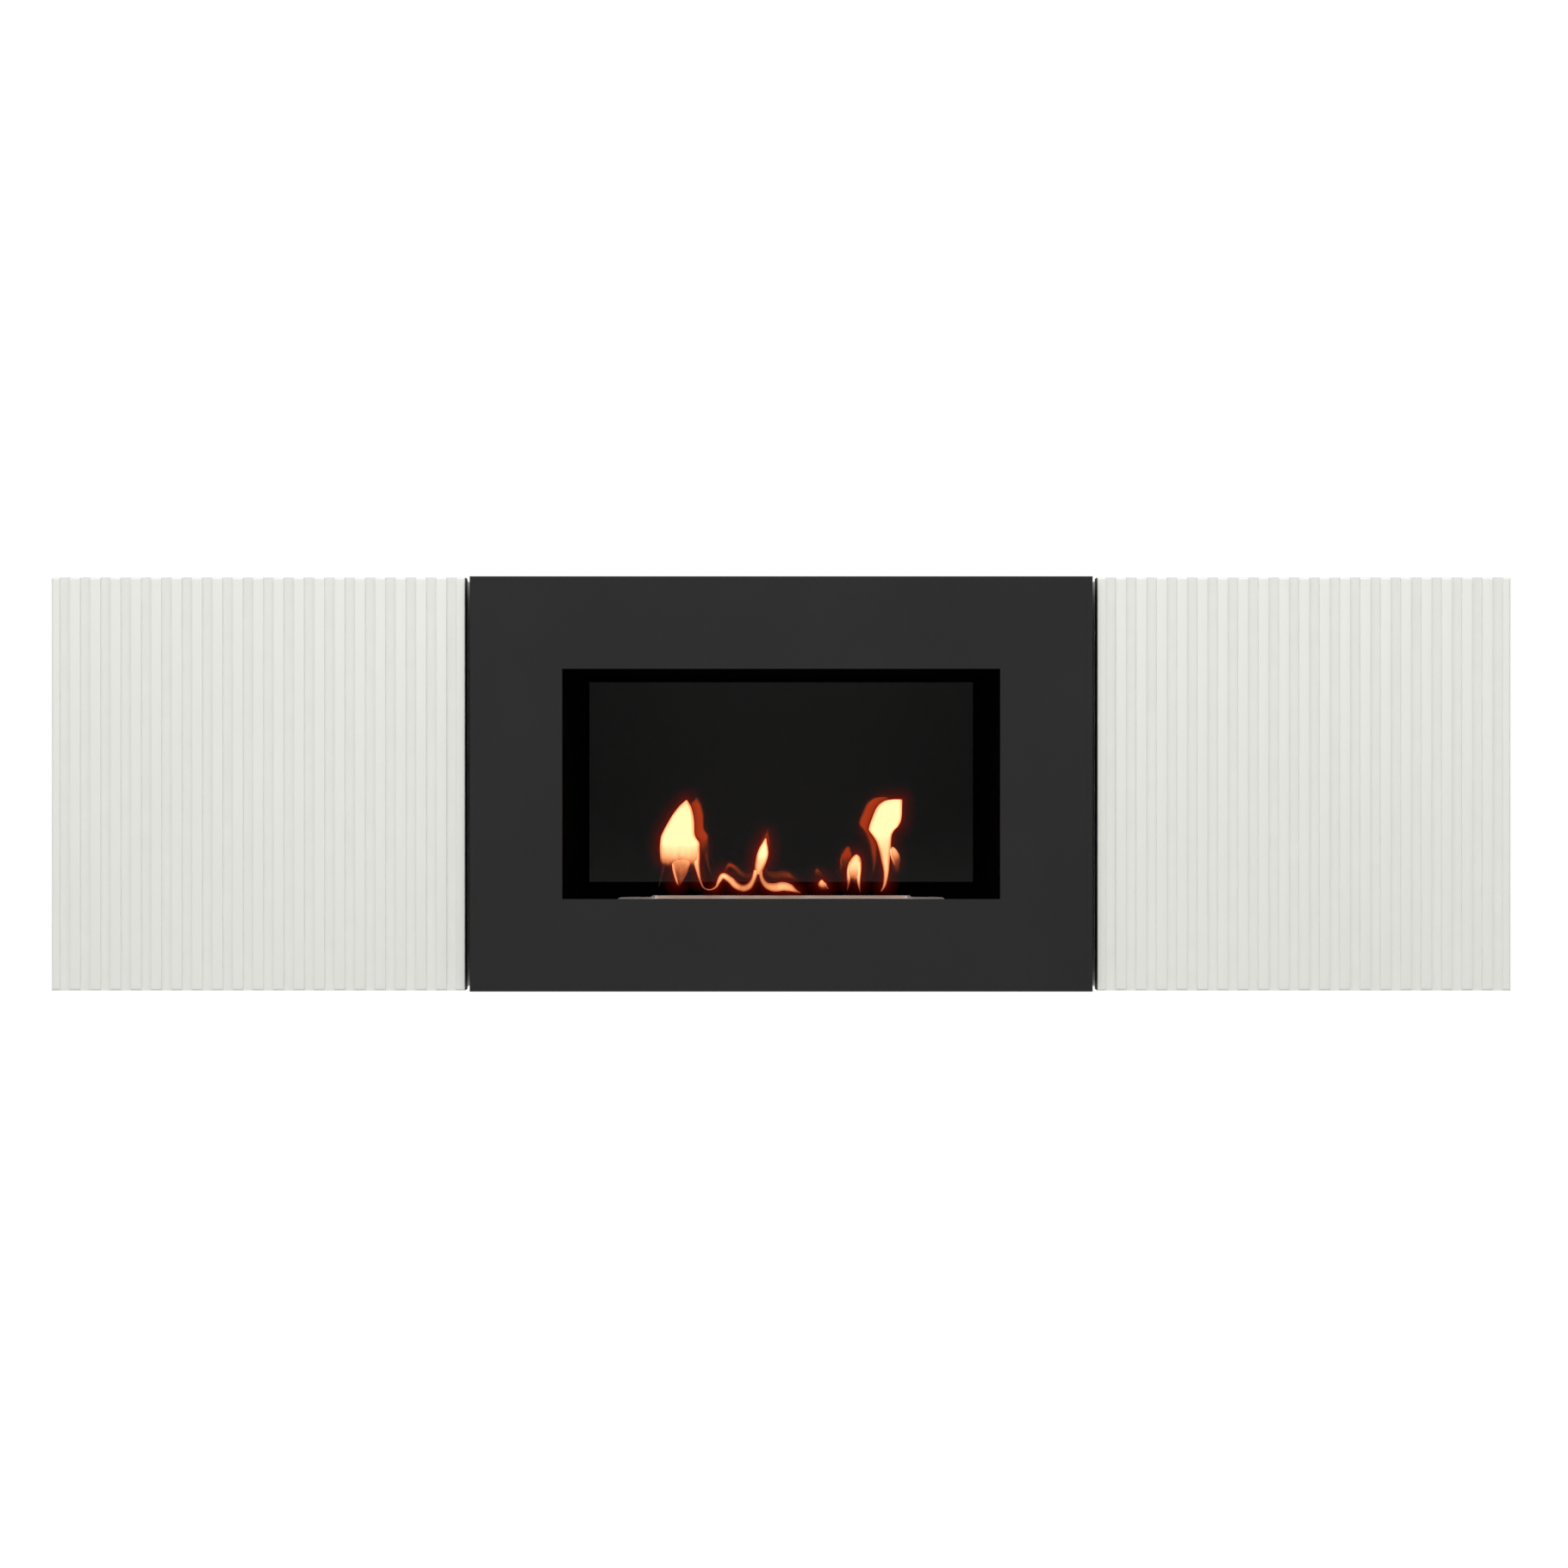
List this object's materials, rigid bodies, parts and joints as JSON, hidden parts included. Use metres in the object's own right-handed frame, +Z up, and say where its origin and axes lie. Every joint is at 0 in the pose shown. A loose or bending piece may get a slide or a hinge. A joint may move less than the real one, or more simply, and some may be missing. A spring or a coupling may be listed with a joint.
{
  "type": "wall fireplace",
  "caption": "Wall-hung steel fireplace with an open firebox and a lidded spirit burner, between two white cabinets with fluted doors.",
  "frame": {"origin": "middle of the unit on the wall, in the plane of the back faces", "axes": "+X to the right, +Y into the wall, +Z up; the front faces -Y"},
  "size_m": [1.412, 0.34, 0.4],
  "materials": {
    "charcoal_steel": "satin",
    "black_screw": "satin",
    "casing_steel": "satin",
    "black_liner": "matte",
    "black_glass": "gloss",
    "silicone": "matte",
    "fibre_board": "matte",
    "zinc_steel": "satin",
    "stainless": "satin",
    "ceramic_wool": "matte",
    "white_board": "satin",
    "white_hardboard": "matte",
    "white_lacquer": "satin",
    "dark_edge": "matte",
    "nickel": "satin",
    "grey_plastic": "matte",
    "dark_plastic": "matte"
  },
  "bodies": {
    "wall_unit": {"casing_back": "casing_steel", "casing_shell": "casing_steel", "fascia_frame": "charcoal_steel", "fascia_screws": "black_screw", "firebox_floor": "black_liner", "firebox_liner": "black_liner", "glass_channel": "black_liner", "glass_pads": "silicone", "insulation_back": "fibre_board", "insulation_top": "fibre_board", "left_back_panel": "white_hardboard", "left_bottom_panel": "white_board", "left_carcass_screws": "zinc_steel", "left_frame_leaf_screws": "nickel", "left_hanger_plates": "zinc_steel", "left_hanger_screws": "zinc_steel", "left_hinge_frame_leaves": "nickel", "left_hinge_pins": "nickel", "left_latch_body": "grey_plastic", "left_shelf": "white_board", "left_shelf_pins": "nickel", "left_side_inner": "white_board", "left_side_outer": "white_board", "left_top_panel": "white_board", "liner_back": "black_liner", "liner_nuts": "zinc_steel", "rear_glass": "black_glass", "right_back_panel": "white_hardboard", "right_bottom_panel": "white_board", "right_carcass_screws": "zinc_steel", "right_frame_leaf_screws": "nickel", "right_hanger_plates": "zinc_steel", "right_hanger_screws": "zinc_steel", "right_hinge_frame_leaves": "nickel", "right_hinge_pins": "nickel", "right_latch_body": "grey_plastic", "right_shelf": "white_board", "right_shelf_pins": "nickel", "right_side_inner": "white_board", "right_side_outer": "white_board", "right_top_panel": "white_board"},
    "left_door": {"left_door": "white_lacquer", "left_door_edge_band": "dark_edge", "left_hinge_door_leaves": "nickel", "left_door_leaf_screws": "nickel", "left_strike_plate": "nickel"},
    "left_latch": {"left_latch_plunger": "dark_plastic"},
    "right_door": {"right_door": "white_lacquer", "right_door_edge_band": "dark_edge", "right_hinge_door_leaves": "nickel", "right_door_leaf_screws": "nickel", "right_strike_plate": "nickel"},
    "right_latch": {"right_latch_plunger": "dark_plastic"},
    "burner": {"burner_tank": "stainless", "burner_top_plate": "stainless", "burner_wool": "ceramic_wool", "lid_guides": "stainless"},
    "burner_lid": {"burner_lid": "stainless"}
  },
  "joints": [
    {"name": "left_door_hinge", "type": "hinge", "parent": "wall_unit", "child": "left_door", "pos_m": [-0.7024, -0.3084, 0], "axis": [0, 0, 1], "range_deg": [-110, 0]},
    {"name": "right_door_hinge", "type": "hinge", "parent": "wall_unit", "child": "right_door", "pos_m": [0.7024, -0.3084, 0], "axis": [0, 0, 1], "range_deg": [0, 110]},
    {"name": "left_latch_press", "type": "slide", "parent": "wall_unit", "child": "left_latch", "axis": [0, 1, 0], "range_m": [0, 0.003], "stiffness_N_per_m": 1500, "springref_m": -0.002},
    {"name": "right_latch_press", "type": "slide", "parent": "wall_unit", "child": "right_latch", "axis": [0, 1, 0], "range_m": [0, 0.003], "stiffness_N_per_m": 1500, "springref_m": -0.002},
    {"name": "burner_lift", "type": "slide", "parent": "wall_unit", "child": "burner", "axis": [0, 0, 1], "range_m": [0, 0.085]},
    {"name": "burner_lid_slide", "type": "slide", "parent": "burner", "child": "burner_lid", "axis": [0, -1, 0], "range_m": [0, 0.034]}
  ]
}
